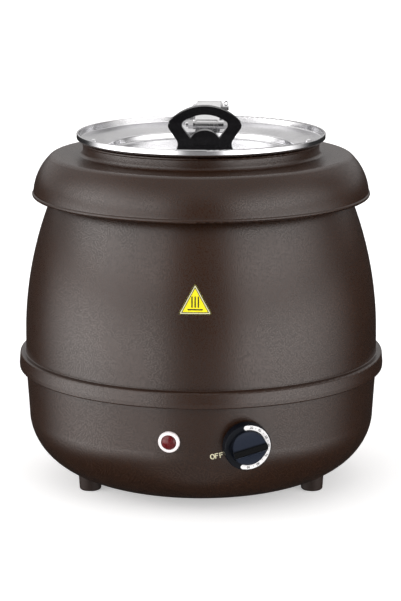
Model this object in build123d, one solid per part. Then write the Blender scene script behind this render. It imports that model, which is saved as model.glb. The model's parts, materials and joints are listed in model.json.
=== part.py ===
"""Buffet soup kettle: painted barrel on a bowl-shaped base, water well, lift-out pot, hinged steel lid.

The origin is on the kettle's axis, in the plane that its feet stand on. +Z is up, the controls face -Y.
All sizes are in millimetres. Every separate piece of the kettle is its own STEP file in parts/.
"""
import os
from math import sqrt

from build123d import *

# Outer shells
sheet = 1.2                       # painted steel
band_r = 180.0                    # widest part: the band pressed round the barrel's lower edge
band_low, band_high = 112.2, 127.8
barrel_r = 173.3
barrel_top = 302.0
lean_z, lean_radius = 143.6, 361.2      # above lean_z the barrel leans in along an arc of this radius
flange_inner_r = 124.2                  # hole in the barrel's top, which the water well hangs in
bowl_floor = 6.0
bowl_floor_r = 100.3
bowl_corner_z, bowl_corner_r = 67.3, 170.8      # where the bowl's rounded corner meets its wall
bowl_rim_z, bowl_rim_r = 111.6, 173.6

# Pot and water well
steel = 0.8
well_r, well_floor = 122.5, 48.0
pot_r, pot_floor = 115.8, 61.2
pot_rim_r, pot_rim_z = 128.0, 303.1
corner = 8.0                            # rounded bottom edge of both

# Cover ring
shoulder_z, shoulder_r = 322.1, 142.5
neck_r, neck_top = 115.2, 333.2
neck_fillet = 4.0
cover_r, cover_low = 163.8, 284.2
cover_bead, neck_bead = 2.0, 1.4        # radii of the two rolled edges
seat_r, seat_low = 133.2, 302.3         # ring under the cover that stands on the barrel's flange
collar_turn = 3.7                       # the cover and its hinge sit this many degrees off the rear

# Lid and handle
disc_z, disc_r = 323.6, 88.0
slope_in, slope_out = (92.6, 330.15), (117.4, 336.55)
lip_r, lip_top, hem = 121.1, 343.07, 1.1     # the lid's edge is folded over, twice this thick
nib_r = 104.5
handle_shift = 3.5                      # the handle is fitted a little to the right of the lid's centre
handle_depth = 14.0
handle_screw_x = 17.0

# Hinge, drawn in the Y-Z plane before the cover is turned
pin_y, pin_z = 133.0, 348.8
bolt_y, bolt_z = 88.0, 337.7
axle_r, bore_r = 2.5, 2.55
arm_half, arm_sheet = 12.3, 1.5
split_pin_x = 17.2

# Controls
knob_angle, knob_z = 13.7, 76.5
bar_tilt = 13.9                         # the knob's bar points at the OFF mark when it is at rest
skirt_r, skirt_back, skirt_face = 22.4, 3.0, 11.5
hub_r, crest = 16.4, 10.5
lamp_angle, lamp_z = -9.9, 78.9
gland_z, gland_bore_r = 76.0, 4.5

# Base
foot_angles = (60, 180, 300)            # from the front, seen from above
foot_circle_r, foot_r = 125.0, 11.6
bracket_z = 28.0                        # underside of the brackets that the foot screws pull on


# Helpers

def outline(steps):
    """Close a chain of steps: a point is reached by a line, a point with a third number by an arc.

    The third number is the arc's radius, positive where the arc bulges to the left of the way. The
    first point's own number is for the closing stretch.
    """
    edges = []
    for start, end in zip(steps, steps[1:] + steps[:1]):
        if len(end) == 3:
            edges.append(RadiusArc(start[:2], end[:2], end[2]))
        else:
            edges.append(Line(start[:2], end[:2]))
    return make_face(edges)


def turned(*steps):
    """Revolve an outline given as (radius, height) steps about the kettle's axis."""
    return revolve(Plane.XZ * outline(list(steps)), Axis.Z)


def ring_bead(radius, height, bead):
    """A round bead that runs once about the kettle's axis."""
    return revolve(Plane.XZ * (Pos(radius, height) * Circle(bead)), Axis.Z)


def rod(radius, low, high):
    """A cylinder on the local Z axis between two heights."""
    return Pos(0, 0, low) * Cylinder(radius, high - low, align=(Align.CENTER, Align.CENTER, Align.MIN))


def tube(outer, inner, low, high):
    return rod(outer, low, high) - rod(inner, low - 1, high + 1)


def hexagon(across_flats, low, high, bore=0.0):
    prism = Pos(0, 0, low) * extrude(RegularPolygon(across_flats / 2, 6, major_radius=False), high - low)
    return prism - rod(bore, low - 1, high + 1) if bore else prism


def block(x, y, z):
    """A box between (low, high) pairs along each axis."""
    box = Box(x[1] - x[0], y[1] - y[0], z[1] - z[0], align=(Align.MIN, Align.MIN, Align.MIN))
    return Pos(x[0], y[0], z[0]) * box


def dome(base_r, height):
    """A spherical cap that stands on the local XY plane."""
    ball = (base_r ** 2 + height ** 2) / (2 * height)
    return Pos(0, 0, height - ball) * Sphere(ball) & rod(base_r + 1, 0, height + 1)


def across(y, z):
    """A local frame whose Z axis runs along +X, at a point of the hinge's Y-Z plane."""
    return Plane(origin=(0, y, z), x_dir=(0, 1, 0), z_dir=(1, 0, 0))


def side_plate(steps, low_x, high_x):
    """Extrude an outline given as (y, z) steps between two X positions."""
    return Pos(low_x, 0, 0) * extrude(Plane.YZ * outline(steps), high_x - low_x)


def about(angle, radius=0.0):
    """A place on the kettle, turned from the front towards +X and moved out to a radius."""
    return Rot(0, 0, angle) * Pos(0, -radius, 0)


def both_sides(x, y):
    return [Pos(side * x, y) for side in (-1, 1)]


def barrel_radius(z):
    rise = max(z - lean_z, 0)
    return barrel_r - lean_radius + sqrt(lean_radius ** 2 - rise ** 2)


wall_slope = (bowl_rim_r - bowl_corner_r) / (bowl_rim_z - bowl_corner_z)


def wall_plane(angle, z):
    """A frame on the bowl's wall: local X to the right, Y up the wall, Z straight out of it."""
    radius = bowl_corner_r + wall_slope * (z - bowl_corner_z)
    out = Vector(0, -1, -wall_slope).rotate(Axis.Z, angle)
    right = Vector(1, 0, 0).rotate(Axis.Z, angle)
    return Plane(origin=Vector(0, -radius, z).rotate(Axis.Z, angle), x_dir=right, z_dir=out)


knob_place = wall_plane(knob_angle, knob_z)
lamp_place = wall_plane(lamp_angle, lamp_z)
gland_place = Plane(origin=(0, bowl_corner_r + wall_slope * (gland_z - bowl_corner_z), gland_z),
                    x_dir=(-1, 0, 0), z_dir=(0, 1, 0))
turn = Rot(0, 0, -collar_turn)
block_screws = both_sides(13, 44)       # terminal block on the base's floor


# Outer shells

def barrel_shell():
    inner_r = barrel_r - sheet
    round_z, inner_round_z = barrel_top - 5.0, barrel_top - 5.6
    return turned(
        (band_r - 3.1, band_low), (band_r - 1.4, band_low), (band_r - 0.1, band_low + 1.4, -1.4),
        (band_r, 117.0), (band_r - 0.8, band_high - 1.9), (band_r - 2.6, band_high, -1.9),
        (barrel_r + 1.0, band_high), (barrel_r, band_high + 1.0, 1.0), (barrel_r, lean_z),
        (barrel_radius(round_z), round_z, -lean_radius), (134.4, barrel_top, -5.5),
        (flange_inner_r, barrel_top), (flange_inner_r, barrel_top - sheet), (134.0, barrel_top - sheet),
        (barrel_radius(inner_round_z) - sheet, inner_round_z, 4.6), (inner_r, lean_z, lean_radius - sheet),
        (inner_r, band_high - sheet), (band_r - 2.7, band_high - sheet), (band_r - 2.0, band_high - 2.2),
        (band_r - 1.2, 117.0), (band_r - 1.3, band_low + 1.7), (band_r - 3.1, band_low + sheet))


def bowl_filled(thickness):
    """The bowl as a filled body, shrunk by a wall thickness, up to its rim."""
    a = bowl_corner_r - bowl_floor_r - thickness
    b = bowl_corner_z - bowl_floor - thickness
    floor_z = bowl_floor + thickness
    edges = [
        Line((0, floor_z), (bowl_floor_r, floor_z)),
        EllipticalCenterArc((bowl_floor_r, bowl_corner_z), a, b, start_angle=270, arc_size=90),
        Line((bowl_corner_r - thickness, bowl_corner_z), (bowl_rim_r - thickness, bowl_rim_z)),
        Line((bowl_rim_r - thickness, bowl_rim_z), (bowl_rim_r - thickness, band_high - 5.2 + thickness)),
        Line((bowl_rim_r - thickness, band_high - 5.2 + thickness), (0, band_high - 5.2 + thickness)),
        Line((0, band_high - 5.2 + thickness), (0, floor_z))]
    return revolve(Plane.XZ * make_face(edges), Axis.Z)


bowl_outside, bowl_inside = bowl_filled(0.0), bowl_filled(sheet)


def base_bowl():
    flange_low = band_high - 5.2
    flange = turned((bowl_rim_r - sheet, flange_low), (176.6, flange_low), (176.6, flange_low + sheet),
                    (bowl_rim_r - sheet, flange_low + sheet))
    bowl = bowl_outside + flange - bowl_inside
    bowl -= knob_place * rod(5.0, -9, 9)
    bowl -= lamp_place * rod(6.6, -9, 9)
    bowl -= gland_place * rod(10.2, -9, 9)
    for place in both_sides(14, 0):
        bowl -= knob_place * (place * rod(2.1, -9, 9))
    for angle in foot_angles:
        bowl -= about(angle, foot_circle_r) * rod(2.8, 0, 20)
    for place in block_screws:
        bowl -= place * rod(1.6, 0, 20)
    return bowl


def seam_gasket():
    low = band_high - 5.2 + sheet
    return turned((172.6, low), (176.4, low), (176.4, band_high - sheet), (172.6, band_high - sheet))


def warning_label():
    """A foil triangle that follows the barrel's curved face."""
    low, high, middle, half, foil = 198.9, 227.7, -5.4, 15.8, 0.2
    skin = turned((barrel_radius(190), 190, lean_radius), (barrel_radius(190) + foil, 190),
                  (barrel_radius(235) + foil, 235, -lean_radius - foil), (barrel_radius(235), 235))
    triangle = outline([(middle - half, low), (middle + half, low), (middle, high)])
    triangle = fillet(triangle.vertices(), 1.6)
    return skin & extrude(Plane.XZ * triangle, 200)


# Pot and water well

def pressed_pan(outer_r, floor_z, rim_r, rim_z):
    """A deep-drawn pan with a rounded bottom edge and a flat rim."""
    inner_r = outer_r - steel
    return turned(
        (0, floor_z), (outer_r - corner, floor_z), (outer_r, floor_z + corner, -corner), (outer_r, rim_z),
        (rim_r, rim_z), (rim_r, rim_z + steel), (inner_r, rim_z + steel), (inner_r, floor_z + corner),
        (outer_r - corner, floor_z + steel, corner - steel), (0, floor_z + steel))


def water_well():
    return pressed_pan(well_r, well_floor, 131.0, barrel_top)


def soup_pot():
    bead = 1.5
    pan = pressed_pan(pot_r, pot_floor, pot_rim_r - 0.5, pot_rim_z)
    return pan + ring_bead(pot_rim_r, pot_rim_z + bead, bead)


# Base: feet, pillars and brackets

def round_the_feet(piece):
    return [about(angle, foot_circle_r) * piece for angle in foot_angles]


def feet():
    rubber = Pos(0, 0, 9) * Cone(10.5, foot_r, 18)
    rubber = fillet(rubber.edges().sort_by(Axis.Z)[:1], 2.0)
    rubber -= rod(5.2, -1, 5.5) + rod(2.8, 0, 20)
    return [piece - bowl_outside for piece in round_the_feet(rubber)]


def foot_screws():
    return round_the_feet(rod(4.6, 2.4, 5.5) + rod(axle_r, 5.5, 36) - hexagon(3.0, 2.0, 4.2))


def base_pillars():
    return [piece & bowl_inside for piece in round_the_feet(tube(6.5, 2.6, 6, bracket_z))]


def well_brackets():
    """Z-shaped brackets welded under the well, one over each foot."""
    top, low = well_floor, bracket_z
    steps = [(94, top), (113.5, top), (113.5, low + sheet), (137, low + sheet), (137, low), (112.3, low),
             (112.3, top - sheet), (94, top - sheet)]
    profile = Pos(-12, 0, 0) * extrude(Plane.YZ * outline([(-r, z) for r, z in steps]), 24)
    profile -= about(0, foot_circle_r) * rod(2.6, low - 1, low + 4)
    return [about(angle) * profile for angle in foot_angles]


def bracket_nuts():
    return round_the_feet(hexagon(8.0, bracket_z + sheet, bracket_z + sheet + 4, axle_r))


# Heating and electrics

element_r, element_tube = 75.0, 4.2
element_z = well_floor - element_tube
plate_top = element_z - element_tube
plate_low = plate_top - 1.5
stud_angles = (30, 150, 270)
terminal_angles = (172, 188)


def round_the_studs(piece):
    return [about(angle, 45) * piece for angle in stud_angles]


def heating_element():
    sweep_angle = 360 - (terminal_angles[1] - terminal_angles[0])
    loop = revolve(Plane.XZ * (Pos(element_r, element_z) * Circle(element_tube)), Axis.Z, sweep_angle)
    loop = Rot(0, 0, terminal_angles[1] - 90) * loop
    for angle in terminal_angles:
        loop += about(angle, element_r) * (Pos(0, 0, element_z) * Sphere(element_tube))
        loop += about(angle, element_r) * rod(element_tube, 26, element_z)
    return loop


def element_terminals():
    pin = rod(3.0, 24, 26) + rod(1.6, 16, 24)
    return [about(angle, element_r) * pin for angle in terminal_angles]


def element_clamp_plate():
    plate = tube(88, 14, plate_low, plate_top)
    for cut in round_the_studs(rod(2.7, 0, 60)):
        plate -= cut
    for angle in terminal_angles:
        plate -= about(angle, element_r) * rod(element_tube + 1.0, 0, 60)
    for place in both_sides(20, 0):
        plate -= place * rod(1.6, 0, 60)
    return plate


def well_studs():
    return round_the_studs(rod(axle_r, 29, well_floor))


def stud_nuts():
    return round_the_studs(tube(6, axle_r, plate_low - 1, plate_low)
                           + hexagon(8.0, plate_low - 5, plate_low - 1, axle_r))


def thermal_cutout():
    body = rod(9, 40, well_floor) + rod(7.5, plate_low, 40)
    for side in (-1, 1):
        body += block((-3.1, 3.1), sorted((side * 5.2, side * 6.0)), (29, plate_low + 1))
    return body


def cutout_strap():
    strap = block((-26, 26), (-4, 4), (plate_low - sheet, plate_low))
    for place in both_sides(20, 0):
        strap -= place * rod(1.6, 0, 60)
    return strap


def strap_rivets():
    rivet = rod(1.6, plate_low - sheet, plate_top) + Pos(0, 0, plate_low - sheet) * (Rot(180, 0, 0) * dome(3, 1.4))
    return [place * rivet for place in both_sides(20, 0)]


bulb_r, bulb_y = 3.2, -98.0
bulb_z = well_floor - bulb_r - 0.05
capillary_r = 1.0


def sensing_bulb():
    bulb = Pos(-40, bulb_y, bulb_z) * (Rot(0, 90, 0) * rod(bulb_r, 0, 90))
    return fillet(bulb.edges().filter_by(GeomType.CIRCLE), 1.5)


def bulb_clips():
    """Two saddle clips that hold the bulb against the well's floor."""
    inner, outer, z = bulb_r + 0.05, bulb_r + 1.05, bulb_z
    top = well_floor
    steps = [(-10, top), (-inner, top), (-inner, z), (inner, z, -inner), (inner, top), (10, top), (10, top - 1),
             (outer, top - 1), (outer, z), (-outer, z, outer), (-outer, top - 1), (-10, top - 1)]
    clip = extrude(Plane.YZ * outline(steps), 7, both=True)
    return [Pos(x, bulb_y, 0) * clip for x in (-24, 30)]


def capillary_tube():
    """From the end of the bulb, in a wide bend, to the right side of the thermostat."""
    entry = knob_place.from_local_coords(Vector(18, -6, -19))
    lead = knob_place.from_local_coords(Vector(33, -6, -19))
    route = [Vector(50, bulb_y, bulb_z), Vector(66, bulb_y, bulb_z), Vector(81, -112, 50), lead, entry]
    path = FilletPolyline(*route, radius=[8, 12, 10])
    start = Plane(origin=route[0], z_dir=(1, 0, 0))
    return sweep(start * Circle(capillary_r), path)


def thermostat_body():
    strap = block((-22, 22), (-6, 6), (-4.0, -2.8))
    body = block((-18, 18), (-16, 16), (-34, -4.0))
    body = fillet(body.edges().filter_by(Axis.Z), 3)
    whole = body + strap + rod(4.8, -4.0, 1.8)
    for x in (-10, 10):
        whole += block((x - 3.1, x + 3.1), (-2, -1.2), (-42, -34))
    whole -= rod(3.05, -12, 3)
    for place in both_sides(14, 0):
        whole -= place * rod(2.0, -14, 0)
    return knob_place * whole


def thermostat_screws():
    screw = rod(1.95, -9, -0.25) + Pos(0, 0, -0.25) * dome(3.6, 2.0) - block((-4, 4), (-0.4, 0.4), (0.9, 2))
    return [knob_place * (place * screw) for place in both_sides(14, 0)]


def lamp_bezel():
    ring = tube(10.15, 7.25, 0, 3.0)
    outer_edge = ring.edges().filter_by(GeomType.CIRCLE).group_by(Axis.Z)[-1].sort_by(SortBy.RADIUS)[-1]
    return lamp_place * fillet(outer_edge, 1.6)


def lamp_lens():
    return lamp_place * (rod(7.2, 0.8, 1.8) + Pos(0, 0, 1.8) * dome(7.2, 2.2))


def lamp_body():
    body = rod(7.2, 0, 0.8) + rod(6.4, -24, 0)
    for x in (-3.5, 3.5):
        body += block((x - 0.4, x + 0.4), (-2.4, 2.4), (-32, -24))
    return lamp_place * body


def lamp_lock_ring():
    return lamp_place * hexagon(19, -4.8, -1.8, 6.4)


def terminal_block():
    body = block((-22, 22), (36, 52), (bowl_floor + sheet, 21))
    for x in (-18.5, -8, 8, 18.5):
        body -= Pos(x, 44, 0) * rod(1.9, 14, 22)
    for place in block_screws:
        body -= place * rod(1.6, 0, 30)
    return body


def terminal_block_screws():
    screw = rod(1.6, 4.5, 21) + Pos(0, 0, 21) * dome(2.8, 1.6)
    return [place * screw for place in block_screws]


# Cable gland in the rear wall

def gland_seal():
    return gland_place * tube(12.5, 10.2, -1.5, 2.0) - bowl_outside


def gland_body():
    return gland_place * (rod(10, -14, 2) + hexagon(24, 2, 6) + rod(9, 6, 12) - rod(5, -15, 13))


def gland_lock_nut():
    return gland_place * hexagon(24, -7, -2.6, 10)


def gland_insert():
    return gland_place * tube(8.0, gland_bore_r, 12, 16)


def gland_cap():
    cap = rod(11.5, 6.4, 19)
    cap = fillet(cap.edges().sort_by(Axis.Z)[-1], 4)
    cap -= rod(9, 6, 12) + rod(8, 12, 16) + rod(gland_bore_r, 15, 20)
    for angle in range(0, 360, 30):
        cap -= Rot(0, 0, angle) * (Pos(11.9, 0, 0) * rod(1.2, 5, 14))
    return gland_place * cap


# Knob

def thermostat_knob():
    """A hollow skirt with a raised hub, whose two concave scoops leave a bar to hold."""
    low = (Align.CENTER, Align.CENTER, Align.MIN)
    skirt = Pos(0, 0, skirt_back) * Cone(skirt_r, skirt_r - 0.2, skirt_face - skirt_back, align=low)
    skirt = chamfer(skirt.faces().sort_by(Axis.Z)[-1].edges(), 0.6)
    skirt -= tube(20.2, 6.5, skirt_back - 1, skirt_face - 2) + rod(6.5, skirt_back - 1, skirt_back + 0.6)
    top, scoop_r, bar_half = skirt_face + crest, 14.0, 2.9
    grip = outline([(-18, skirt_face), (18, skirt_face), (18, skirt_face + 2.8), (bar_half, top, scoop_r),
                    (-bar_half, top), (-18, skirt_face + 2.8, scoop_r)])
    grip = fillet([v for v in grip.vertices() if v.Y > top - 0.1], 0.8)
    hub = extrude(Plane.YZ * grip, 20, both=True) & rod(hub_r, skirt_face, top)
    hub += Pos(0, 0, skirt_face) * Cone(hub_r + 0.5, hub_r - 0.2, 1.6, align=low)
    return knob_place * (skirt + Rot(0, 0, bar_tilt) * hub - rod(3.0, 0, 17))


def knob_scale():
    """The printed band that carries the temperature numbers, as a thin inlay on the skirt."""
    inner, outer, start, end = 17.0, 21.3, -104.0, 97.0
    middle, cap = (inner + outer) / 2, (outer - inner) / 2
    ends = [Rot(0, 0, angle) * Pos(middle, 0) for angle in (start, end)]
    band = make_face([
        CenterArc((0, 0), outer, start, end - start), CenterArc((0, 0), inner, start, end - start),
        Line(ends[0] * Vertex(-cap, 0, 0), ends[0] * Vertex(cap, 0, 0)),
        Line(ends[1] * Vertex(-cap, 0, 0), ends[1] * Vertex(cap, 0, 0))])
    for place in ends:
        band += place * Circle(cap)
    return knob_place * (Pos(0, 0, skirt_face) * extrude(band, 0.15))


def thermostat_shaft():
    shaft = rod(3.0, -11.5, 16.5)
    return knob_place * (shaft - block((-4, 4), (1.8, 4), (4, 17)))


def knob_spring():
    return knob_place * block((-1.3, 1.3), (1.8, 2.6), (5, 16))


# Cover ring and hinge

bracket_half = 17.0
bracket_screws = both_sides(13.4, 126.5)


def collar_cover():
    under = shoulder_z - sheet
    ring = turned(
        (neck_r - sheet, shoulder_z + neck_fillet, neck_fillet + sheet), (neck_r - sheet, neck_top),
        (neck_r, neck_top),
        (neck_r, shoulder_z + neck_fillet), (neck_r + neck_fillet, shoulder_z, -neck_fillet),
        (shoulder_r, shoulder_z), (147.8, 320.0, 7.7), (cover_r, cover_low + 2.8, 52.4), (cover_r, cover_low),
        (cover_r - sheet, cover_low), (cover_r - sheet, cover_low + 2.8), (146.95, 319.1, -51.2),
        (shoulder_r, under, -6.5), (neck_r + neck_fillet, under))
    ring += ring_bead(cover_r - 0.75, cover_low, cover_bead)
    ring += ring_bead(neck_r - 0.8, neck_top, neck_bead)
    for place in bracket_screws:
        ring -= place * rod(2.1, 300, 330)
    return turn * ring


def collar_seat_ring():
    under = shoulder_z - sheet
    ring = turned((119.5, under - sheet), (seat_r - sheet, under - sheet), (seat_r - sheet, seat_low),
                  (seat_r, seat_low), (seat_r, under), (119.5, under))
    for place in bracket_screws:
        ring -= place * rod(2.1, 300, 330)
    return turn * ring


def hinge_bracket():
    """Base plate with two ears that carry the rear pin."""
    base = block((-bracket_half, bracket_half), (122.6, 141.0), (shoulder_z, shoulder_z + arm_sheet))
    base = fillet(base.edges().filter_by(Axis.Z), 2.5)
    for place in bracket_screws:
        base -= place * rod(2.1, 300, 330)
    foot_z = shoulder_z + 0.5
    for x in (-8.9, 7.4):
        base += side_plate([(125.5, foot_z), (139.0, foot_z), (pin_y + 5, pin_z), (pin_y - 5, pin_z, -5.01)],
                           x, x + arm_sheet)
    base -= across(pin_y, pin_z) * rod(bore_r, -20, 20)
    return turn * base


def hinge_screws():
    top = shoulder_z + arm_sheet
    screw = rod(2.0, shoulder_z - 8.5, top) + Pos(0, 0, top) * dome(3.4, 2.2)
    screw -= block((-4, 4), (-0.45, 0.45), (top + 1.2, top + 3))
    return [turn * (place * screw) for place in bracket_screws]


def hinge_nuts():
    top = shoulder_z - 2 * sheet
    return [turn * (place * hexagon(7.0, top - 3.2, top, 2.0)) for place in bracket_screws]


def hinge_pin():
    pin = rod(axle_r, -13.9, 19.8) + Pos(0, 0, -13.9) * (Rot(180, 0, 0) * dome(4.4, 4.2))
    pin -= Pos(0, 0, split_pin_x) * (Rot(90, 0, 0) * Cylinder(0.9, 8))
    return turn * (across(pin_y, pin_z) * pin)


def pin_washers():
    return [turn * (across(pin_y, pin_z) * tube(5.2, bore_r, low, low + 1.3)) for low in (-13.9, 12.6)]


def split_pin():
    """Its eye stands over the pin and its two ends are bent apart below."""
    wire = 0.75
    eye = Pos(0, 0, axle_r + 2.4) * (Rot(90, 0, 0) * Torus(1.9, wire))
    shank = rod(wire, -axle_r - 0.6, axle_r + 1.0)
    ends = [Pos(0, 0, -axle_r - 0.5) * (Rot(0, tilt, 0) * rod(wire * 0.8, -4.4, 0)) for tilt in (-24, 24)]
    return turn * (Pos(split_pin_x, pin_y, pin_z) * (eye + shank + ends[0] + ends[1]))


def hinge_arm():
    """A channel, open below, from the rear pin to the front bolt."""
    top = pin_z + 7.0
    side = [(138.6, 346.0), (138.6, top - 4.0), (134.6, top, -4.0), (128.0, top), (97.0, 341.4),
            (89.0, 342.3), (87.0, 333.1), (96.0, 334.2), (113.5, 338.0), (116.0, 344.2)]
    arm = side_plate([(pin_y, top), (128.0, top), (97.0, 341.4), (97.7, 339.9), (128.4, top - arm_sheet),
                      (pin_y, top - arm_sheet)], -arm_half, arm_half)
    for x in (-arm_half, arm_half - arm_sheet):
        arm += side_plate(side, x, x + arm_sheet) + across(bolt_y, bolt_z) * rod(4.7, x, x + arm_sheet)
    arm -= across(pin_y, pin_z) * rod(bore_r, -20, 20)
    arm -= across(bolt_y, bolt_z) * rod(axle_r, -20, 20)
    return turn * arm


# Lid

lid_slope = (slope_out[1] - slope_in[1]) / (slope_out[0] - slope_in[0])


def on_slope(x, y):
    """A frame on the lid's sloping ring, local Z square to its upper face."""
    radius = sqrt(x ** 2 + y ** 2)
    up = Vector(-x * lid_slope / radius, -y * lid_slope / radius, 1)
    height = slope_in[1] + lid_slope * (radius - slope_in[0])
    return Plane(origin=(x, y, height), x_dir=up.cross(Vector(0, 1, 0)) * -1, z_dir=up)


rivet_places = [turn * on_slope(side * 5.6, 104.0).location for side in (-1, 1)]


def lid_shell():
    under = disc_z - steel
    shell = turned(
        (0, disc_z), (disc_r, disc_z), (89.9, disc_z + 1.9, -1.9), (90.8, 328.6), (*slope_in, 2.0), slope_out,
        (118.3, 337.4, -1.2), (lip_r - 2 * hem, lip_top - hem), (lip_r, lip_top - hem), (lip_r, 338.4),
        (119.7, 336.9, 1.6), (117.9, 335.85, 2.4), (93.1, 329.4), (91.6, 328.3, -1.4), (90.7, 325.2),
        (88.3, under, 2.5), (0, under))
    shell += ring_bead(lip_r - hem, lip_top - hem, hem)
    for side in (-1, 1):
        shell += on_slope(side * nib_r, 0) * (Pos(0, 0, -0.3) * dome(3.6, 3.1))
    for place in rivet_places:
        shell -= place * rod(2.0, -3, 3)
    for place in both_sides(handle_screw_x, 0):
        shell -= Pos(handle_shift, 0, 0) * (place * rod(axle_r, 300, 330))
    return shell


def lid_bracket():
    """A strap riveted to the lid's slope, with its front end rolled round the bolt."""
    strap = side_plate([(112.0, 335.35), (92.6, 330.35), (89.5, 333.9), (91.0, 335.2), (93.4, 332.1),
                        (111.6, 336.85)], -10.4, 10.4)
    knuckle = across(bolt_y, bolt_z) * tube(4.1, axle_r, -10.4, 10.4)
    bracket = turn * (strap + knuckle)
    for place in rivet_places:
        bracket -= place * rod(2.0, -3, 6)
    return bracket


def bracket_rivets():
    """Domed heads above the strap and flat closed heads below the lid."""
    under = -steel - 0.06
    rivet = rod(2.0, under, 1.75) + rod(3.0, under - 1.0, under) + Pos(0, 0, 1.75) * dome(3.6, 2.2)
    return [place * rivet for place in rivet_places]


def front_bolt():
    bolt = rod(axle_r, -21.7, 17.4) + hexagon(8.0, 17.4, 21.2)
    bolt = chamfer(bolt.faces().sort_by(Axis.Z)[0].edges(), 0.5)
    return turn * (across(bolt_y, bolt_z) * bolt)


def front_spacer():
    return turn * (across(bolt_y, bolt_z) * tube(4.4, axle_r, arm_half, 17.4))


def front_nut():
    nut = hexagon(8.0, -18.6, -13.6, axle_r) + tube(5.0, axle_r, -13.6, -arm_half)
    return turn * (across(bolt_y, bolt_z) * nut)


def lid_handle():
    """Moulded loop: a bowed grip on two legs that lean in to a solid foot."""
    loop = outline([(27.0, disc_z), (26.0, 333.5), (37.0, 349.8), (-37.0, 349.8, -45.8), (-26.0, 333.5),
                    (-27.0, disc_z)])
    loop = fillet([v for v in loop.vertices() if v.Y > 340], 5.5)
    loop = fillet([v for v in loop.vertices() if abs(v.Y - 333.5) < 0.1], 7.0)
    gap = outline([(14.3, 337.0, 16.6), (23.8, 351.2), (-23.8, 351.2, -35.4), (-14.3, 337.0)])
    gap = fillet([v for v in gap.vertices() if v.Y > 345], 4.5)
    handle = extrude(Plane.XZ * (loop - gap), handle_depth / 2, both=True)
    for face_edges in (handle.edges().group_by(Axis.Y)[0], handle.edges().group_by(Axis.Y)[-1]):
        handle = chamfer(face_edges, 2.4)
    foot = block((-27.5, 27.5), (-9, 9), (disc_z, disc_z + 4.5))
    foot = fillet(foot.edges().filter_by(Axis.Z) + foot.edges().group_by(Axis.Z)[-1], 1.8)
    handle += foot
    recess = outline([(-11.0, 330.0), (-11.0, 334.5), (11.0, 334.5, 11.7), (11.0, 330.0)])
    for side in (-1, 1):
        handle -= Pos(0, side * handle_depth / 2, 0) * extrude(Plane.XZ * recess, 1.4, both=True)
    for place in both_sides(handle_screw_x, 0):
        handle -= place * rod(axle_r, disc_z - 1, 338)
    return Pos(handle_shift, 0, 0) * handle


def under_the_handle(piece):
    return [Pos(handle_shift, 0, disc_z - steel) * (place * piece) for place in both_sides(handle_screw_x, 0)]


def handle_screws():
    head = Pos(0, 0, -1) * (Rot(180, 0, 0) * dome(4.4, 2.8))
    return under_the_handle(rod(axle_r, -1, 14) + head - block((-5, 5), (-0.5, 0.5), (-5, -2.6)))


def handle_washers():
    return under_the_handle(tube(6.5, axle_r, -1, 0))


nodes = [
    barrel_shell, base_bowl, seam_gasket, warning_label, water_well, soup_pot, feet, foot_screws,
    base_pillars, well_brackets, bracket_nuts, heating_element, element_terminals, element_clamp_plate,
    well_studs, stud_nuts, thermal_cutout, cutout_strap, strap_rivets, sensing_bulb, bulb_clips,
    capillary_tube, thermostat_body, thermostat_screws, lamp_bezel, lamp_lens, lamp_body, lamp_lock_ring,
    terminal_block, terminal_block_screws, gland_seal, gland_body, gland_lock_nut, gland_insert, gland_cap,
    thermostat_knob, knob_scale, thermostat_shaft, knob_spring, collar_cover, collar_seat_ring,
    hinge_bracket, hinge_screws, hinge_nuts, hinge_pin, pin_washers, split_pin, hinge_arm, lid_shell,
    lid_bracket, bracket_rivets, front_bolt, front_spacer, front_nut, lid_handle, handle_screws,
    handle_washers]

os.makedirs("parts", exist_ok=True)
for make in nodes:
    made = make()
    shape = Compound(children=[piece for piece in made]) if isinstance(made, list) else made
    export_step(shape, f"parts/{make.__name__}.step")
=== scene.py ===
"""Looks of a buffet soup kettle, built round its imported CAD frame.

The CAD nodes keep their shape and get a finish each. Printed work that the CAD leaves out is added as
pieces of its own. All lengths are in metres, in the frame's own axes: +Z is up, and the controls face -Y.
"""

import json
import logging
from dataclasses import dataclass, field, replace
from enum import Enum
from math import cos, pi, radians, sin, sqrt
from typing import Sequence, Union

import bmesh
import bpy
from mathutils import Matrix, Vector

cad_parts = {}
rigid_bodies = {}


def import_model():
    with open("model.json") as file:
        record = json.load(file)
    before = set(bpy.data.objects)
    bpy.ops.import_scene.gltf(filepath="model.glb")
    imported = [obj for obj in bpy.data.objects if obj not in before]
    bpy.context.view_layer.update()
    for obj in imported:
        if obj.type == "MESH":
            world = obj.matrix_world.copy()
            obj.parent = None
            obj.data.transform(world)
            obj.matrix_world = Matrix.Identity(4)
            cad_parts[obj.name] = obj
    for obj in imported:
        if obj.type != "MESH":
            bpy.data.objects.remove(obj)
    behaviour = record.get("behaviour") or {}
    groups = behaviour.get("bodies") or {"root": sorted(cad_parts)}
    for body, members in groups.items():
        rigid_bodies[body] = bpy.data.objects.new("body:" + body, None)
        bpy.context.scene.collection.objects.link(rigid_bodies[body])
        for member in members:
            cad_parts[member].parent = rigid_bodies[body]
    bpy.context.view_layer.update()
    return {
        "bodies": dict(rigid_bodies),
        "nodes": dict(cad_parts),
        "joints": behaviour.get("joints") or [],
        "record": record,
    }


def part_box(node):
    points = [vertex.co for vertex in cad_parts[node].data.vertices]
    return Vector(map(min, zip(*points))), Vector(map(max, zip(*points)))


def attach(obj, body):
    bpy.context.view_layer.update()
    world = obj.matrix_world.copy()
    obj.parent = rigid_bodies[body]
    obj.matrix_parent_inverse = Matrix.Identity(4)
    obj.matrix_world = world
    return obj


MM = 0.001
BAR_PIECE = 1.6 * MM      # a printed bar is cut this short to follow a curved face
CAP_STEPS = 6             # steps round the end of a printed bar
WHITE = (1.0, 1.0, 1.0)
log = logging.getLogger("soup_kettle")

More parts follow.
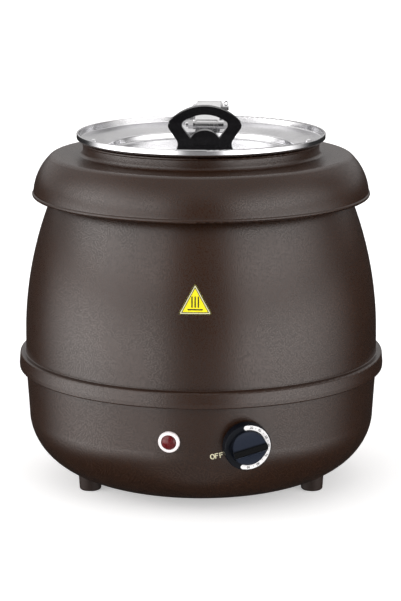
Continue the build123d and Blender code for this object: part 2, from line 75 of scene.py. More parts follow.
Rgb = tuple[float, float, float]
Point = tuple[float, float]
Value = Union["Wire", float]


# Shader wiring

@dataclass(frozen=True)
class Wire:
    """An output socket that can stand in Python arithmetic, where each operator adds one Math node."""

    socket: bpy.types.NodeSocket

    def math(self, operation: str, *values: Value, clamp: bool = False) -> "Wire":
        """Feed values to a new Math node.

        Args:
            operation: Name of the Math node's operation.
            values: What its inputs take, in order: wires or plain numbers.
            clamp: True to hold the result between 0 and 1.

        Returns:
            The node's result.
        """
        node = self.socket.id_data.nodes.new("ShaderNodeMath")
        node.operation, node.use_clamp = operation, clamp
        for place, value in zip(node.inputs, values):
            link(value, place)
        return Wire(node.outputs[0])

    def __add__(self, other: Value) -> "Wire":
        """Sum of the two."""
        return self.math("ADD", self, other)

    def __sub__(self, other: Value) -> "Wire":
        """This less the other."""
        return self.math("SUBTRACT", self, other)

    def __rsub__(self, other: Value) -> "Wire":
        """The other less this."""
        return self.math("SUBTRACT", other, self)

    def __mul__(self, other: Value) -> "Wire":
        """Product of the two."""
        return self.math("MULTIPLY", self, other)

    def __truediv__(self, other: Value) -> "Wire":
        """This over the other."""
        return self.math("DIVIDE", self, other)

    __radd__ = __add__
    __rmul__ = __mul__

    def root(self) -> "Wire":
        """Square root."""
        return self.math("SQRT", self)

    def size(self) -> "Wire":
        """The value without its sign."""
        return self.math("ABSOLUTE", self)

    def step(self, start: float, end: float) -> "Wire":
        """Change smoothly from 0 at start to 1 at end.

        Args:
            start: Value where the change begins. It may be the larger of the two.
            end: Value where the change is complete.

        Returns:
            The share, from 0 to 1.
        """
        share = self.math("DIVIDE", self - start, end - start, clamp=True)
        return share * share * (3.0 - 2.0 * share)


def link(value: Union[Wire, float, Sequence[float]], socket: bpy.types.NodeSocket) -> None:
    """Link an input socket to a wire, or set it to a number, vector or colour.

    Args:
        value: A wire, a number, or the parts of a vector or colour.
        socket: The input that takes it.
    """
    if isinstance(value, Wire):
        socket.id_data.links.new(value.socket, socket)
    elif socket.type == "RGBA":
        socket.default_value = (*value, 1.0)
    else:
        socket.default_value = value


@dataclass(frozen=True)
class Tree:
    """A node tree that is being filled, a material's or the world's."""

    nodes: bpy.types.Nodes

    def add(self, kind: str, settings: dict | None = None, inputs: dict | None = None,
            output: Union[str, int] = 0) -> Wire:
        """Add any node that isn't plain arithmetic.

        Args:
            kind: The node's type, without the leading ShaderNode.
            settings: Its own properties, which are set first.
            inputs: Values or wires, by socket name or number.
            output: Which output is returned, by name or number.

        Returns:
            The chosen output.
        """
        node = self.nodes.new("ShaderNode" + kind)
        for name, value in (settings or {}).items():
            setattr(node, name, value)
        for name, value in (inputs or {}).items():
            link(value, node.inputs[name])
        return Wire(node.outputs[output])

    def close(self, kind: str, surface: Wire) -> None:
        """Send a surface to the tree's output.

        Args:
            kind: Type of the output node, Material or World.
            surface: The shader that it takes.
        """
        out = self.nodes.new("ShaderNodeOutput" + kind)
        link(surface, out.inputs["Surface"])

    def place(self) -> Wire:
        """Position on the object, in metres."""
        return self.add("TexCoord", output="Object")

    def split(self, vector: Wire) -> list[Wire]:
        """Take a vector apart.

        Args:
            vector: Where its three parts come from.

        Returns:
            Its X, Y and Z.
        """
        node = self.nodes.new("ShaderNodeSeparateXYZ")
        link(vector, node.inputs[0])
        return [Wire(output) for output in node.outputs]

    def join(self, x: Value, y: Value, z: Value) -> Wire:
        """A vector from its three parts."""
        return self.add("CombineXYZ", inputs={0: x, 1: y, 2: z})

    def noise(self, where: Wire, cell: float, detail: float = 2.0) -> Wire:
        """Soft noise from 0 to 1.

        Args:
            where: Position that it is read at.
            cell: Size of one blob, in the position's unit.
            detail: How many finer layers it has.

        Returns:
            The noise's value.
        """
        return self.add("TexNoise", inputs={"Vector": where, "Scale": 1.0 / cell, "Detail": detail})

    def cells(self, where: Wire, cell: float) -> Wire:
        """Distance to the nearest cell's centre, about 0 to 0.8.

        Args:
            where: Position that it is read at.
            cell: Size of one cell, in the position's unit.

        Returns:
            The distance, in cells.
        """
        return self.add("TexVoronoi", {"feature": "SMOOTH_F1"}, {"Vector": where, "Scale": 1.0 / cell})

    def blend(self, share: Value, first: Union[Wire, Rgb], second: Union[Wire, Rgb]) -> Wire:
        """Mix two colours.

        Args:
            share: How much of the second there is, from 0 to 1.
            first: The colour where share is 0.
            second: The colour where share is 1.

        Returns:
            The mixed colour.
        """
        return self.add("Mix", {"data_type": "RGBA"}, {0: share, 6: first, 7: second}, output=2)

    def bump(self, height: Wire, depth: float, under: Wire | None = None) -> Wire:
        """Normal of a surface that stands up by height times depth.

        Args:
            height: Relief, about 0 to 1.
            depth: Metres that a height of 1 stands for.
            under: Normal of a coarser relief that this one lies on.

        Returns:
            The bent normal.
        """
        inputs = {"Height": height, "Distance": depth}
        if under is not None:
            inputs["Normal"] = under
        return self.add("Bump", inputs=inputs)


# Finishes

def shaded(color: Rgb, by: float) -> Rgb:
    """A colour made lighter or darker by a factor."""
    return tuple(part * by for part in color)


@dataclass(frozen=True)
class Finish:
    """What every finish has: a name, a colour and how rough it is.

    Its name differs from the record's material slots, because the frame brings materials with those names.
    """

    name: str
    color: Rgb
    roughness: float

    def material(self) -> bpy.types.Material:
        """Make the finish's material, or find it if it was made before.

        Returns:
            The material.
        """
        made = bpy.data.materials.get(self.name)
        if made is None:
            made = bpy.data.materials.new(self.name)
            made.use_nodes = True
            made.diffuse_color = (*self.color, 1.0)
            made.node_tree.nodes.clear()
            tree = Tree(made.node_tree.nodes)
            tree.close("Material", tree.add("BsdfPrincipled", inputs=self.shade(tree)))
        return made

    def shade(self, tree: Tree) -> dict:
        """Inputs of the Principled shader, by socket name."""
        raise NotImplementedError


@dataclass(frozen=True)
class PowderCoat(Finish):
    """Textured powder coat, leather-like, of small rounded grains."""

    grain: float = 1.15 * MM
    depth: float = 0.035 * MM
    warp: float = 0.7
    speck: float = 0.42 * MM
    patch: float = 60 * MM
    ior: float = 1.5

    def shade(self, tree: Tree) -> dict:
        """Painted shade darkens the grain's furrows, with a slow change of tone over the whole shell.

        Args:
            tree: The material's tree.

        Returns:
            Inputs of the Principled shader, by socket name.
        """
        where = tree.place()
        drift = tree.add("TexNoise", inputs={"Vector": where, "Scale": 0.5 / self.grain}, output=1)
        shift = tree.add("VectorMath", {"operation": "SCALE"}, {0: drift, 3: self.warp * self.grain})
        warped = tree.add("VectorMath", {"operation": "ADD"}, {0: where, 1: shift})
        furrow = tree.cells(warped, self.grain).step(0.30, 0.62)
        speck = tree.noise(where, self.speck, 3.0)
        tone = tree.noise(where, self.patch, 3.0)
        base = tree.blend(tone.step(0.3, 0.7), shaded(self.color, 0.92), shaded(self.color, 1.1))
        return {
            # painted shade in the grain's furrows
            "Base Color": tree.blend(furrow * 0.55, base, shaded(self.color, 0.45)),
            "Roughness": self.roughness + furrow * 0.12 + (speck - 0.5) * 0.10,
            "Normal": tree.bump((1.0 - furrow) * 0.8 + speck * 0.35, self.depth),
            "IOR": self.ior}


class Grain(Enum):
    """How a metal's surface was worked."""

    SPUN = "rings round the kettle's axis"
    SHEET = "straight lines from rolling"
    TUMBLED = "no direction"


@dataclass(frozen=True)
class Metal(Finish):
    """Bare or plated metal, with the fine lines that its making left."""

    grain: Grain = Grain.TUMBLED
    line: float = 0.30 * MM
    depth: float = 0.004 * MM
    ring_stretch: float = 6 * MM
    sheet_stretch: float = 0.02
    smear: float = 22 * MM

    def lines(self, tree: Tree, where: Wire) -> Wire:
        """Noise drawn out along the working direction.

        Args:
            tree: The material's tree.
            where: Position on the object.

        Returns:
            A value from 0 to 1.
        """
        x, y, z = tree.split(where)
        if self.grain is Grain.SPUN:
            turn = y.math("ARCTAN2", y, x)
            where = tree.join((x * x + y * y).root(), z, turn * self.ring_stretch)
        elif self.grain is Grain.SHEET:
            where = tree.join(x, y * self.sheet_stretch, z * self.sheet_stretch)
        return tree.noise(where, self.line, 3.0)

    def shade(self, tree: Tree) -> dict:
        """Fine lines in roughness and relief, and a faint cloud of handling marks.

        Args:
            tree: The material's tree.

        Returns:
            Inputs of the Principled shader, by socket name.
        """
        where = tree.place()
        lines = self.lines(tree, where)
        cloud = tree.noise(where, self.smear, 4.0)
        tint = tree.blend(cloud.step(0.35, 0.75), self.color, shaded(self.color, 0.88))
        return {
            "Base Color": tree.blend((lines - 0.45) * 0.9, tint, shaded(self.color, 0.70)),
            "Metallic": 1.0,
            "Roughness": self.roughness + (lines - 0.5) * 0.16 + (cloud - 0.5) * 0.08,
            "Normal": tree.bump(lines, self.depth)}


@dataclass(frozen=True)
class Moulding(Finish):
    """Moulded plastic, from glossy to spark-eroded."""

    texture: float = 0.5 * MM
    depth: float = 0.01 * MM
    coat: float = 0.0
    shine: float = 0.5
    ripple: float = 7 * MM
    wear: float = 3 * MM
    coat_roughness: float = 0.08

    def shade(self, tree: Tree) -> dict:
        """A fine even texture over a slow waviness, and dust in the texture's pits.

        Args:
            tree: The material's tree.

        Returns:
            Inputs of the Principled shader, by socket name.
        """
        where = tree.place()
        pit = tree.cells(where, self.texture).step(0.2, 0.7)
        worn = tree.noise(where, self.wear, 4.0)
        under = tree.bump(tree.noise(where, self.ripple, 2.0), 4 * self.depth)
        return {
            "Base Color": tree.blend(pit * 0.4 + (worn - 0.5) * 0.3, self.color,
                                     shaded(self.color, 1.35)),
            "Roughness": self.roughness + (worn - 0.5) * 0.12 + pit * 0.05,
            "Specular IOR Level": self.shine,
            "Coat Weight": self.coat,
            "Coat Roughness": self.coat_roughness,
            "Normal": tree.bump(1.0 - pit, self.depth, under)}


@dataclass(frozen=True)
class GripPlastic(Moulding):
    """Knob plastic with painted light that makes the scoops paler, and painted shade that makes the bar
    between them black.
    """

    frame: Matrix = field(default_factory=Matrix)
    tilt: float = radians(13.9)
    bar_half: float = 3.4 * MM
    bar_inner: float = 0.5 * MM
    bar_outer: float = 0.9 * MM
    hub_r: float = 16.0 * MM
    hub_edge: float = 0.6 * MM
    bar_painted_shade: float = 0.2
    scoop_painted_light: float = 4.5

    def shade(self, tree: Tree) -> dict:
        """The moulding, with painted light paling the scoops and painted shade blackening the bar over the
        hub.

        Args:
            tree: The material's tree.

        Returns:
            Inputs of the Principled shader, by socket name.
        """
        inputs = super().shade(tree)
        right, up, _ = (column.to_3d() for column in self.frame.to_3x3().transposed())
        where = tree.place()
        along = self.distance(tree, where, right * cos(self.tilt) + up * sin(self.tilt))
        across = self.distance(tree, where, up * cos(self.tilt) - right * sin(self.tilt))
        off_bar = across.size().step(self.bar_half - self.bar_inner, self.bar_half + self.bar_outer)
        radius = (along * along + across * across).root()
        on_hub = 1.0 - radius.step(self.hub_r - self.hub_edge, self.hub_r + self.hub_edge)
        # painted shade darkens the bar to black, and painted light makes the scoops beside it paler
        hub_painted_light_and_shade = tree.blend(off_bar, shaded(self.color, self.bar_painted_shade), shaded(self.color, self.scoop_painted_light))
        inputs["Base Color"] = tree.blend(on_hub, inputs["Base Color"], hub_painted_light_and_shade)
        return inputs

    def distance(self, tree: Tree, where: Wire, way: Vector) -> Wire:
        """How far a point is from the knob's axis in one direction.

        Args:
            tree: The material's tree.
            where: Position on the object.
            way: The direction, of length 1.

        Returns:
            The distance in metres, with its sign.
        """
        reach = tree.add("VectorMath", {"operation": "DOT_PRODUCT"}, {0: where, 1: way}, output=1)
        return reach - self.frame.translation.dot(way)


@dataclass(frozen=True)
class Ceramic(Finish):
    """Glazed steatite with small dark specks."""

    speck: float = 0.8 * MM
    ripple: float = 4 * MM
    depth: float = 0.05 * MM

    def shade(self, tree: Tree) -> dict:
        """Specks under a wavy glaze.

        Args:
            tree: The material's tree.

        Returns:
            Inputs of the Principled shader, by socket name.
        """
        where = tree.place()
        dark = tree.noise(where, self.speck, 5.0).step(0.62, 0.72)
        return {
            "Base Color": tree.blend(dark * 0.5, self.color, shaded(self.color, 0.5)),
            "Roughness": self.roughness + dark * 0.2,
            "Normal": tree.bump(tree.noise(where, self.ripple), self.depth)}


@dataclass(frozen=True)
class Print(Finish):
    """Screen-printed ink or foil, slightly uneven and very thin."""

    mottle: float = 0.9 * MM
    depth: float = 0.006 * MM

    def shade(self, tree: Tree) -> dict:
        """A little mottled, as where the ink lies thinner.

        Args:
            tree: The material's tree.

        Returns:
            Inputs of the Principled shader, by socket name.
        """
        where = tree.place()
        thin = tree.noise(where, self.mottle, 3.0).step(0.45, 0.8)
        return {
            "Base Color": tree.blend(thin * 0.5, self.color, shaded(self.color, 0.82)),
            "Roughness": self.roughness + thin * 0.15,
            "Normal": tree.bump(thin, self.depth)}


@dataclass(frozen=True)
class LampLens(Finish):
    """Red lens with a fine prism pattern pressed into its back."""

    prism: float = 1.05 * MM
    depth: float = 0.12 * MM
    shine: float = 0.3
    coat: float = 0.3
    coat_roughness: float = 0.04

    def shade(self, tree: Tree) -> dict:
        """Painted highlights on the prisms' tops, and painted light and shade that make the lens lighter on
        its left and darker on its right.

        Args:
            tree: The material's tree.

        Returns:
            Inputs of the Principled shader, by socket name.
        """
        where = tree.place()
        x, _, _ = tree.split(where)
        left, right = (corner.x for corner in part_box("lamp_lens"))
        across = x.step(left, right)
        prism = 1.0 - tree.cells(where, self.prism).step(0.1, 0.75)
        # painted light on the lens's left side and painted shade on its right side
        side_painted_light_and_shade = tree.blend(across, shaded(self.color, 1.5), shaded(self.color, 0.75))
        return {
            # painted highlight on the prisms' tops
            "Base Color": tree.blend(prism * 0.6, side_painted_light_and_shade, shaded(self.color, 1.9)),
            "Roughness": self.roughness + prism * 0.1,
            "Specular IOR Level": self.shine,
            "Coat Weight": self.coat,
            "Coat Roughness": self.coat_roughness,
            "Normal": tree.bump(prism, self.depth)}


BROWN_COAT = PowderCoat("brown_powder_coat", (0.0275, 0.0108, 0.0048), 0.27)
FOOT_RUBBER = Moulding("moulded_foot_rubber", (0.022, 0.013, 0.010), 0.50,
                       texture=0.8 * MM, depth=0.03 * MM, shine=0.2)
SPUN_STEEL = Metal("spun_steel", (0.74, 0.74, 0.755), 0.17, Grain.SPUN)
SHEET_STEEL = Metal("sheet_steel", (0.66, 0.66, 0.665), 0.26, Grain.SHEET)
INNER_STEEL = Metal("inner_steel", (0.50, 0.50, 0.50), 0.42, line=0.8 * MM, depth=0.02 * MM)
BRIGHT_PLATE = Metal("bright_plate", (0.78, 0.78, 0.79), 0.16, line=0.5 * MM)
COPPER = Metal("drawn_copper", (0.62, 0.27, 0.14), 0.30, line=1.0 * MM)
PHENOLIC = Moulding("polished_phenolic", (0.0030, 0.0027, 0.0034), 0.14,
                    texture=0.6 * MM, depth=0.004 * MM, coat=0.12, shine=0.2)
KNOB_PLASTIC = GripPlastic("moulded_knob_plastic", (0.0040, 0.0050, 0.0078), 0.26,
                           texture=0.35 * MM, depth=0.008 * MM, shine=0.07)
BLACK_NYLON = Moulding("moulded_black_nylon", (0.014, 0.014, 0.015), 0.42)
SOFT_RUBBER = Moulding("soft_rubber", (0.012, 0.012, 0.0125), 0.70, texture=1.2 * MM, depth=0.04 * MM)
SWITCH_CASE = Moulding("switch_case", (0.55, 0.52, 0.42), 0.45)
LAMP_RING = Moulding("lamp_ring", (0.80, 0.74, 0.745), 0.22, texture=0.4 * MM, depth=0.004 * MM, coat=0.5)
STEATITE = Ceramic("steatite", (0.62, 0.60, 0.55), 0.22)
SCALE_WHITE = Print("printed_scale_white", (0.86, 0.85, 0.85), 0.35)
SIGN_YELLOW = Print("sign_yellow", (0.86, 0.74, 0.010), 0.32)
SIGN_BLACK = Print("sign_black", (0.020, 0.016, 0.010), 0.38)
SIGN_EDGE = Print("sign_edge", (0.62, 0.60, 0.36), 0.36)
MARK_CREAM = Print("mark_cream", (0.70, 0.66, 0.45), 0.45)
SCALE_INK = Print("scale_ink", (0.008, 0.008, 0.010), 0.45)
LENS_RED = LampLens("lens_red", (0.070, 0.0015, 0.0030), 0.22)

NODE_FINISHES: dict[Finish, str] = {
    BROWN_COAT: "barrel_shell base_bowl collar_cover",
    FOOT_RUBBER: "feet",
    SPUN_STEEL: "water_well soup_pot collar_seat_ring lid_shell",
    SHEET_STEEL: "hinge_bracket hinge_arm lid_bracket",
    INNER_STEEL: "base_pillars well_brackets heating_element element_clamp_plate well_studs cutout_strap "
                 "bulb_clips thermostat_shaft knob_spring handle_washers",
    BRIGHT_PLATE: "foot_screws bracket_nuts element_terminals stud_nuts strap_rivets thermostat_screws "
                  "terminal_block_screws hinge_screws hinge_nuts hinge_pin pin_washers split_pin "
                  "bracket_rivets front_bolt front_spacer front_nut handle_screws",
    COPPER: "sensing_bulb capillary_tube",
    PHENOLIC: "lid_handle",
    BLACK_NYLON: "gland_body gland_lock_nut gland_cap lamp_lock_ring",
    SOFT_RUBBER: "seam_gasket gland_seal gland_insert",
    SWITCH_CASE: "thermostat_body lamp_body",
    LAMP_RING: "lamp_bezel",
    STEATITE: "thermal_cutout terminal_block",
    SCALE_WHITE: "knob_scale",
    SIGN_YELLOW: "warning_label",
    LENS_RED: "lamp_lens"}


def dress(thing: bpy.types.Object, finish: Finish) -> None:
    """Give a whole object one finish.

    Args:
        thing: The object whose material slots are filled.
        finish: What it is made of or coated with.
    """
    if not thing.material_slots:
        thing.data.materials.append(None)
    for slot in thing.material_slots:
        slot.material = finish.material()
    log.info("%s is %s", thing.name, finish.name)


def dress_nodes(nodes: dict[str, bpy.types.Object]) -> None:
    """Give every CAD node its finish, but for the knob, whose finish needs its axis.

    Args:
        nodes: The frame's nodes by name.
    """
    for finish, names in NODE_FINISHES.items():
        for name in names.split():
            dress(nodes[name], finish)


# Printed work: flat drawings that are laid on a CAD surface

def wall_frame(origin: Vector, out: Vector, tilt: float = 0.0) -> Matrix:
    """A frame on an upright wall: X to the right, Y up the wall, Z straight out of it.

    Args:
        origin: Where the frame stands.
        out: Direction out of the wall.
        tilt: Turn of X and Y, in degrees, counter-clockwise as seen from outside.

    Returns:
        The frame's matrix.
    """
    right = Vector((0, 0, 1)).cross(out).normalized()
    turned = Matrix((right, out.cross(right), out)).transposed().to_4x4()
    return Matrix.Translation(origin) @ turned @ Matrix.Rotation(radians(tilt), 4, "Z")


def add_object(name: str, shape: bmesh.types.BMesh) -> bpy.types.Object:
    """Make an object of a finished mesh.

    Args:
        name: Name of the piece.
        shape: Its mesh, which is used up.

    Returns:
        The new object.
    """
    mesh = bpy.data.meshes.new(name)
    shape.to_mesh(mesh)
    shape.free()
    made = bpy.data.objects.new(name, mesh)
    bpy.context.scene.collection.objects.link(made)
    return made


def knob_frame(knob: dict) -> Matrix:
    """A frame on the knob's axis: Z straight out of the bowl's wall.

    Args:
        knob: The record's entry for the knob's joint.

    Returns:
        The frame's matrix.
    """
    return wall_frame(Vector(knob["pos_m"]), -Vector(knob["axis"]))


@dataclass(frozen=True)
class Printing:
    """Prints thin shapes on a CAD node, each a low slab whose underside is just inside the surface.

    A ray from reach in front of the drawing finds the surface. The slab stands film proud of it.
    """

    node: bpy.types.Object
    frame: Matrix
    body: str
    film: float = 0.08 * MM
    sunk: float = 0.05 * MM
    reach: float = 30 * MM

    def lay(self, x: float, y: float, above: float) -> Vector:
        """Find a point over the surface, straight behind a point of the drawing.

        Args:
            x: Distance to the right in the frame.
            y: Distance up in the frame.
            above: How far in front of the surface the point is.

        Returns:
            The point, in the shared frame.
        """
        out = self.frame.to_3x3() @ Vector((0, 0, 1))
        hit, place, _, _ = self.node.ray_cast(self.frame @ Vector((x, y, self.reach)), -out)
        if not hit:
            raise ValueError(f"{self.node.name} has nothing at {x:.4f}, {y:.4f}")
        return place + out * above

    def slab(self, name: str, shape: bmesh.types.BMesh, finish: Finish) -> None:
        """Turn a flat drawing into a printed slab that moves with the node's body.

        Args:
            name: Name of the piece.
            shape: Faces drawn in the frame's XY plane, all facing +Z. It is used up.
            finish: The ink.
        """
        drawn = set(shape.verts)
        raised = bmesh.ops.extrude_face_region(shape, geom=list(shape.faces))
        fronts = {item for item in raised["geom"] if isinstance(item, bmesh.types.BMVert)}
        undersides = [face for face in shape.faces if drawn.issuperset(face.verts)]
        bmesh.ops.reverse_faces(shape, faces=undersides)
        for vert in shape.verts:
            vert.co = self.lay(vert.co.x, vert.co.y, self.film if vert in fronts else -self.sunk)
        bmesh.ops.recalc_face_normals(shape, faces=shape.faces)
        piece = add_object(name, shape)
        dress(piece, finish)
        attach(piece, self.body)
        log.info("%s is printed on %s", name, self.node.name)


def rings(loops: Sequence[Sequence[Point]]) -> bmesh.types.BMesh:
    """Join closed loops of the same number of points by faces, from the outermost in.

    Args:
        loops: The loops' points, each counter-clockwise.

    Returns:
        The flat drawing.
    """
    shape = bmesh.new()
    made = [[shape.verts.new((x, y, 0)) for x, y in loop] for loop in loops]
    for outer, inner in zip(made, made[1:]):
        for i, corner in enumerate(outer):
            j = (i + 1) % len(outer)
            shape.faces.new((corner, outer[j], inner[j], inner[i]))
    return shape


def bars(strokes: Sequence[tuple[Point, Point]], width: float) -> bmesh.types.BMesh:
    """Draw straight bars with rounded ends.

    Args:
        strokes: The two ends of each bar.
        width: Width of every bar.

    Returns:
        The flat drawing.
    """
    shape = bmesh.new()
    for start, end in strokes:
        start, end = Vector(start), Vector(end)
        across = (end - start).normalized().orthogonal() * (width / 2)
        count = 1 + int((end - start).length / BAR_PIECE)
        middles = [start.lerp(end, i / count) for i in range(count + 1)]
        left, right = ([shape.verts.new((*(middle + side), 0)) for middle in middles]
                       for side in (across, -across))
        for i in range(count):
            shape.faces.new((right[i], right[i + 1], left[i + 1], left[i]))
        for middle, side, first, last in ((start, across, left[0], right[0]),
                                          (end, -across, right[-1], left[-1])):
            arc = [middle + Matrix.Rotation(pi * k / CAP_STEPS, 2) @ side for k in range(1, CAP_STEPS)]
            shape.faces.new([first, *(shape.verts.new((*point, 0)) for point in arc), last])
    return shape


def oval(half_width: float, half_height: float, centre: Point, count: int = 28) -> list[Point]:
    """Points of an oval, counter-clockwise.

    Args:
        half_width: Half its width.
        half_height: Half its height.
        centre: Its middle.
        count: How many points it has.

    Returns:
        The points.
    """
    angles = [2 * pi * i / count for i in range(count)]
    return [(centre[0] + half_width * cos(angle), centre[1] + half_height * sin(angle)) for angle in angles]


@dataclass(frozen=True)
class Sign:
    """Triangle on the barrel: a dark line, a light edge, a dark border, and three bars over a fourth."""

    half: float = 15.8 * MM
    height: float = 28.8 * MM
    corner: float = 1.6 * MM
    least_corner: float = 0.3 * MM
    corner_steps: int = 5
    side_steps: int = 6
    margin: float = 0.05 * MM
    line: float = 0.85 * MM
    edge: float = 0.95 * MM
    border: float = 0.60 * MM
    bar: float = 1.25 * MM
    foot_y: float = 4.7 * MM
    foot_half: float = 6.4 * MM
    post_gap: float = 2.9 * MM
    post_low: float = 7.0 * MM
    post_high: float = 16.0 * MM

    def outline(self, inset: float) -> list[Point]:
        """The triangle's outline, moved in.

        Args:
            inset: How far it is moved in.

        Returns:
            The same number of points for any inset, counter-clockwise.
        """
        slant = sqrt(self.half ** 2 + self.height ** 2)
        inner_r = self.half * self.height / (self.half + slant)
        radius = max(self.corner - inset, self.least_corner)
        share = 1 - (inset + radius) / inner_r
        middle = Vector((0, inner_r))
        tips = [Vector((-self.half, 0)), Vector((self.half, 0)), Vector((0, self.height))]
        lean = Vector((self.height, self.half)) / slant
        facing = [Vector((-lean.x, lean.y)), Vector((0, -1)), lean]
        arcs = []
        for i, tip in enumerate(tips):
            sweep = facing[i].angle(facing[(i + 1) % 3])
            around = middle + (tip - middle) * share
            arcs.append([around + Matrix.Rotation(sweep * k / self.corner_steps, 2) @ facing[i] * radius
                         for k in range(self.corner_steps + 1)])
        points = []
        for arc, after in zip(arcs, arcs[1:] + arcs[:1]):
            side = [arc[-1].lerp(after[0], k / self.side_steps) for k in range(1, self.side_steps)]
            points += arc + side
        return [tuple(point) for point in points]

    def build(self, label: bpy.types.Object) -> None:
        """Print the sign on its foil.

        Args:
            label: The foil's CAD node.
        """
        low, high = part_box("warning_label")
        foot = Vector(((low.x + high.x) / 2, low.y, low.z))
        printing = Printing(label, wall_frame(foot, Vector((0, -1, 0))), "kettle_body")
        inset = self.margin
        for name, width, ink, slot in (("sign_line", self.line, SIGN_BLACK, "black_nylon"),
                                       ("sign_edge", self.edge, SIGN_EDGE, "label_yellow"),
                                       ("sign_border", self.border, SIGN_BLACK, "black_nylon")):
            printing.slab(name, rings([self.outline(inset), self.outline(inset + width)]), ink)
            inset += width
        strokes = [((-self.foot_half, self.foot_y), (self.foot_half, self.foot_y))]
        strokes += [((x, self.post_low), (x, self.post_high)) for x in (-self.post_gap, 0.0, self.post_gap)]
        printing.slab("sign_bars", bars(strokes, self.bar), SIGN_BLACK)


@dataclass(frozen=True)
class OffMark:
    """The cream word OFF on the wall, left of the knob."""

    angle: float = 4.95
    z: float = 65.6 * MM
    tilt: float = 10.0
    height: float = 4.3 * MM
    pitch: float = 4.35 * MM
    stroke: float = 0.95 * MM
    half_width: float = 1.75 * MM
    stems: tuple[float, float] = (-0.35, 0.62)
    arm: float = 1.5
    arm_less: float = 0.3
    arm_rise: float = 0.1

    def build(self, wall: bpy.types.Object) -> None:
        """Print the word on the base bowl.

        Args:
            wall: The base bowl's CAD node.
        """
        out = Vector((sin(radians(self.angle)), -cos(radians(self.angle)), 0))
        low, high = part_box("base_bowl")
        wall_r = (high.x - low.x) / 2
        frame = wall_frame(out * wall_r + Vector((0, 0, self.z)), out, self.tilt)
        printing = Printing(wall, frame, "kettle_body")
        half, wide, thick, centre = self.height / 2, self.half_width, self.stroke, (-self.pitch, 0.0)
        ring = [oval(wide + side, half + side, centre) for side in (thick / 2, -thick / 2)]
        printing.slab("off_mark_round", rings(ring), MARK_CREAM)
        strokes = []
        for left in (stem * self.pitch for stem in self.stems):
            right, middle = left + self.arm * wide, self.arm_rise * half
            strokes += [((left, -half), (left, half)), ((left + thick, half), (right, half)),
                        ((left + thick, middle), (right - self.arm_less * wide, middle))]
        printing.slab("off_mark_strokes", bars(strokes, thick), MARK_CREAM)


@dataclass(frozen=True)
class DialNumbers:
    """Temperatures in tens, with a short tick between neighbours, printed on the knob's white band."""

    radius: float = 19.15 * MM
    height: float = 2.3 * MM
    type_size: float = 1.38
    swell: float = 0.05 * MM
    film: float = 0.05 * MM
    tick_in: float = 0.5 * MM
    tick_out: float = 0.6 * MM
    tick_width: float = 0.3 * MM
    numbers: tuple[tuple[str, float], ...] = (
        ("30", 82.0), ("40", 57.0), ("50", 28.0), ("60", 3.0), ("70", -26.0), ("80", -60.0), ("90", -88.0))

    def build(self, band: bpy.types.Object, knob: dict) -> None:
        """Print the numbers and ticks.

        Args:
            band: The white band's CAD node.
            knob: The record's entry for the knob's joint.
        """
        printing = Printing(band, knob_frame(knob), "knob", film=self.film)
        for text, angle in self.numbers:
            shape = self.letters(text)
            turn = Matrix.Rotation(radians(angle), 4, "Z") @ Matrix.Translation((self.radius, 0, 0))
            shape.transform(turn @ Matrix.Rotation(-pi / 2, 4, "Z"))
            printing.slab("dial_" + text, shape, SCALE_INK)
        angles = [angle for _, angle in self.numbers]
        strokes = []
        for angle in ((a + b) / 2 for a, b in zip(angles, angles[1:])):
            out = Vector((cos(radians(angle)), sin(radians(angle))))
            strokes.append((out * (self.radius - self.tick_in), out * (self.radius + self.tick_out)))
        printing.slab("dial_ticks", bars(strokes, self.tick_width), SCALE_INK)

    def letters(self, text: str) -> bmesh.types.BMesh:
        """Draw a number as flat faces round the drawing's origin.

        Args:
            text: The number.

        Returns:
            The flat drawing, facing +Z.
        """
        curve = bpy.data.curves.new("number", "FONT")
        curve.body, curve.size, curve.resolution_u = text, self.height * self.type_size, 3
        curve.offset = self.swell
        curve.align_x, curve.align_y = "CENTER", "CENTER"
        source = bpy.data.objects.new("number", curve)
        bpy.context.scene.collection.objects.link(source)
        seen = source.evaluated_get(bpy.context.evaluated_depsgraph_get())
        mesh = bpy.data.meshes.new_from_object(seen)
        shape = bmesh.new()
        shape.from_mesh(mesh)
        bmesh.ops.remove_doubles(shape, verts=shape.verts, dist=0.01 * MM)
        for face in shape.faces:
            if face.normal.z < 0:
                face.normal_flip()
        bpy.data.batch_remove([source, mesh, curve])
        return shape


# Studio

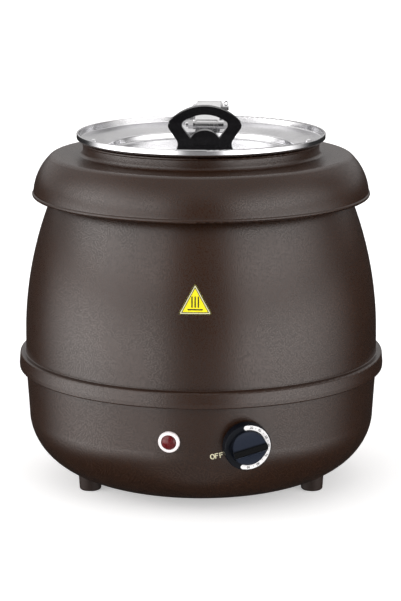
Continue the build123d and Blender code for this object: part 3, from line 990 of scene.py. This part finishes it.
@dataclass(frozen=True)
class Studio:
    """A white floor, soft light from both sides, and the camera."""

    distance: float = 2.0846
    eye_z: float = 0.6402
    pitch: float = 12.59
    lens: float = 129.25
    sensor: float = 36.0
    sideways: float = -0.001
    far: float = 50.0
    floor_half: float = 12.0
    floor_glow: float = 0.42
    left_light: float = 4.5
    right_light: float = 3.6
    top_light: float = 0.6
    back_light: float = 0.62
    table_light: float = 0.40
    dim: float = 0.03
    gap_share: float = 0.80
    light_color: Rgb = (1.0, 0.985, 0.98)

    def build(self) -> None:
        """Set up everything round the kettle."""
        self.floor()
        self.world()
        self.camera()
        settings = bpy.context.scene.view_settings
        settings.view_transform, settings.look = "Standard", "None"
        log.info("studio is ready")

    def camera(self) -> None:
        """Stand the camera in front, looking down on the kettle a little."""
        data = bpy.data.cameras.new("camera")
        data.lens, data.sensor_width = self.lens, self.sensor
        data.shift_x, data.clip_end = self.sideways, self.far
        made = bpy.data.objects.new("camera", data)
        made.location = (0, -self.distance, self.eye_z)
        made.rotation_euler = (radians(90 - self.pitch), 0, 0)
        bpy.context.scene.collection.objects.link(made)
        bpy.context.scene.camera = made

    def floor(self) -> None:
        """A white floor that glows a little, so that only the contact shadow shows on it."""
        shape = bmesh.new()
        bmesh.ops.create_grid(shape, x_segments=8, y_segments=8, size=self.floor_half)
        made = add_object("floor", shape)
        material = bpy.data.materials.new("floor_white")
        material.use_nodes = True
        material.node_tree.nodes.clear()
        tree = Tree(material.node_tree.nodes)
        tone = tree.noise(tree.place(), 0.5, 2.0)
        tree.close("Material", tree.add("BsdfPrincipled", inputs={
            "Base Color": tree.blend(tone, shaded(WHITE, 0.86), shaded(WHITE, 0.90)),
            "Roughness": 0.9, "Emission Color": WHITE, "Emission Strength": self.floor_glow}))
        made.data.materials.append(material)
        made.visible_glossy = False

    def world(self) -> None:
        """Soft lights left and right, crossed by a dimmer band, with weaker ones above, behind and below.

        The camera itself sees plain white.
        """
        world = bpy.data.worlds.new("studio")
        world.use_nodes = True
        world.node_tree.nodes.clear()
        bpy.context.scene.world = world
        tree = Tree(world.node_tree.nodes)
        x, y, z = tree.split(tree.add("TexCoord", output="Generated"))
        flat = (x * x + y * y + 0.0001).root()      # never 0, so that the divisions work straight up
        front = (y * -1.0) / flat
        right = (x / flat).step(-0.1, 0.1)
        left_box = (0.7 + front.step(0.8, 0.3) * 0.3) * (1.0 - front.step(0.25, -0.65)) * self.left_light
        right_box = (1.0 - front.step(0.6, -0.5)) * self.right_light
        boxes = front.step(0.98, 0.86) * (left_box + (right_box - left_box) * right)
        low = z.step(-0.62, -0.20) * (1.0 - z.step(0.30, 0.85))
        gap = z.step(0.04, 0.09) * (1.0 - z.step(0.15, 0.20)) * self.gap_share
        top = z.step(0.45, 0.80) * self.top_light
        back = front.step(-0.2, -0.8) * z.step(0.02, 0.15) * self.back_light
        table = z.step(-0.08, -0.15) * front.step(0.5, 0.9) * self.table_light
        strength = boxes * low * (1.0 - gap) + top + back + table + self.dim
        light = tree.add("Background", inputs={"Color": self.light_color, "Strength": strength})
        backdrop = tree.add("Background", inputs={"Color": WHITE, "Strength": 1.0})
        seen = tree.add("LightPath", output="Is Camera Ray")
        tree.close("World", tree.add("MixShader", inputs={0: seen, 1: light, 2: backdrop}))


def main() -> None:
    """Load the frame, dress it, print on it and light it."""
    logging.basicConfig(level=logging.INFO, format="%(name)s: %(message)s")
    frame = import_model()
    nodes = frame["nodes"]
    joints = {joint["name"]: joint for joint in frame["joints"]}
    dress_nodes(nodes)
    dress(nodes["thermostat_knob"], replace(KNOB_PLASTIC, frame=knob_frame(joints["knob_turn"])))
    Sign().build(nodes["warning_label"])
    OffMark().build(nodes["base_bowl"])
    DialNumbers().build(nodes["knob_scale"], joints["knob_turn"])
    Studio().build()


if __name__ == "__main__":
    main()
